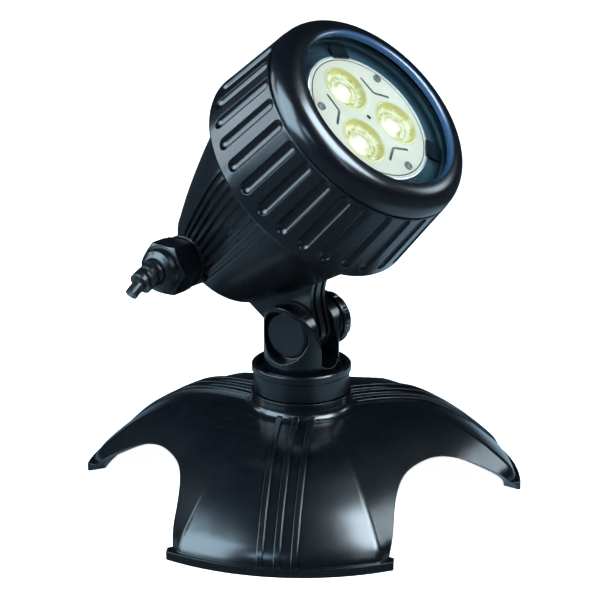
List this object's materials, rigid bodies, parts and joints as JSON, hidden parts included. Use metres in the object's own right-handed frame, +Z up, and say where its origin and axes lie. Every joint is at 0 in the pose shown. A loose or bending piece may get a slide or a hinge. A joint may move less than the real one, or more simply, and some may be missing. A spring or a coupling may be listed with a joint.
{
  "type": "underwater pond light",
  "caption": "Submersible pond spotlight: a fluted screw-front lamp head with a cable gland, tilting on a swivel yoke above a domed tripod foot.",
  "frame": {"origin": "centre of the foot circle on the floor, on the swivel axis", "axes": "+Z up along the swivel axis, +X the horizontal direction of the beam at rest, +Y towards the hand knob"},
  "size_m": [0.1445, 0.156, 0.1661],
  "materials": {
    "stand_plastic": "satin gloss black",
    "bolt_plastic": "satin black",
    "washer_plastic": "matt dark grey",
    "knob_plastic": "satin gloss black",
    "brass": "machined",
    "housing_plastic": "satin gloss black",
    "seal_rubber": "matt black",
    "bezel_plastic": "gloss black",
    "lens_glass": "clear polished",
    "retainer_plastic": "gloss black",
    "heatsink": "cast",
    "lamp_white": "satin white",
    "optic_clear": "moulded clear",
    "emitter_yellow": "phosphor yellow",
    "board_white": "white solder mask",
    "screw_steel": "plated",
    "lamp_base_plastic": "matt white",
    "pin_steel": "bright",
    "socket_ceramic": "unglazed cream",
    "contact_brass": "stamped",
    "wire_insulation": "dark insulation",
    "gland_plastic": "gloss black",
    "cable_rubber": "satin black rubber"
  },
  "bodies": {
    "base": {"base_stand": "stand_plastic"},
    "ring": {"lock_ring": "stand_plastic"},
    "yoke": {"yoke": "stand_plastic", "pivot_bolt": "bolt_plastic", "pivot_washers": "washer_plastic"},
    "knob": {"pivot_knob": "knob_plastic", "knob_insert": "brass"},
    "head": {"housing": "housing_plastic", "housing_o_ring": "seal_rubber", "lamp_retainer": "retainer_plastic", "lamp_heatsink": "heatsink", "lamp_face_plate": "lamp_white", "led_optics": "optic_clear", "led_emitters": "emitter_yellow", "led_board": "board_white", "lamp_screws": "screw_steel", "lamp_driver_base": "lamp_base_plastic", "lamp_pins": "pin_steel", "lamp_socket": "socket_ceramic", "socket_contacts": "contact_brass", "lead_wires": "wire_insulation", "gland_body": "gland_plastic", "gland_o_ring": "seal_rubber", "gland_seal": "seal_rubber", "gland_nut": "gland_plastic", "strain_sleeve": "cable_rubber", "cable_jacket": "cable_rubber", "cable_cores": "wire_insulation"},
    "lens_carrier": {"lens_glass": "lens_glass", "lens_gasket": "seal_rubber"},
    "bezel": {"bezel": "bezel_plastic"}
  },
  "joints": [
    {"name": "ring_turn", "type": "hinge", "parent": "base", "child": "ring", "pos_m": [0, 0, 0.04], "axis": [0, 0, 1], "range_deg": [0, 90]},
    {"name": "yoke_swivel", "type": "hinge", "parent": "base", "child": "yoke", "pos_m": [0, 0, 0.045], "axis": [0, 0, 1], "continuous": true},
    {"name": "knob_turn", "type": "hinge", "parent": "yoke", "child": "knob", "pos_m": [0, 0.015, 0.058], "axis": [0, 1, 0], "range_deg": [0, 180]},
    {"name": "head_tilt", "type": "hinge", "parent": "yoke", "child": "head", "pos_m": [0, 0, 0.058], "axis": [0, -1, 0], "range_deg": [-60, 45]},
    {"name": "bezel_advance", "type": "slide", "parent": "head", "child": "lens_carrier", "axis": [0.7242, 0, 0.6896], "range_m": [0, 0.0061]},
    {"name": "bezel_turn", "type": "hinge", "parent": "lens_carrier", "child": "bezel", "pos_m": [0.03138, 0, 0.14105], "axis": [0.7242, 0, 0.6896], "range_deg": [0, 720]}
  ],
  "couplings": [
    {"joint": "bezel_advance", "follows": "bezel_turn", "m_per_rad": 0.00047746}
  ]
}
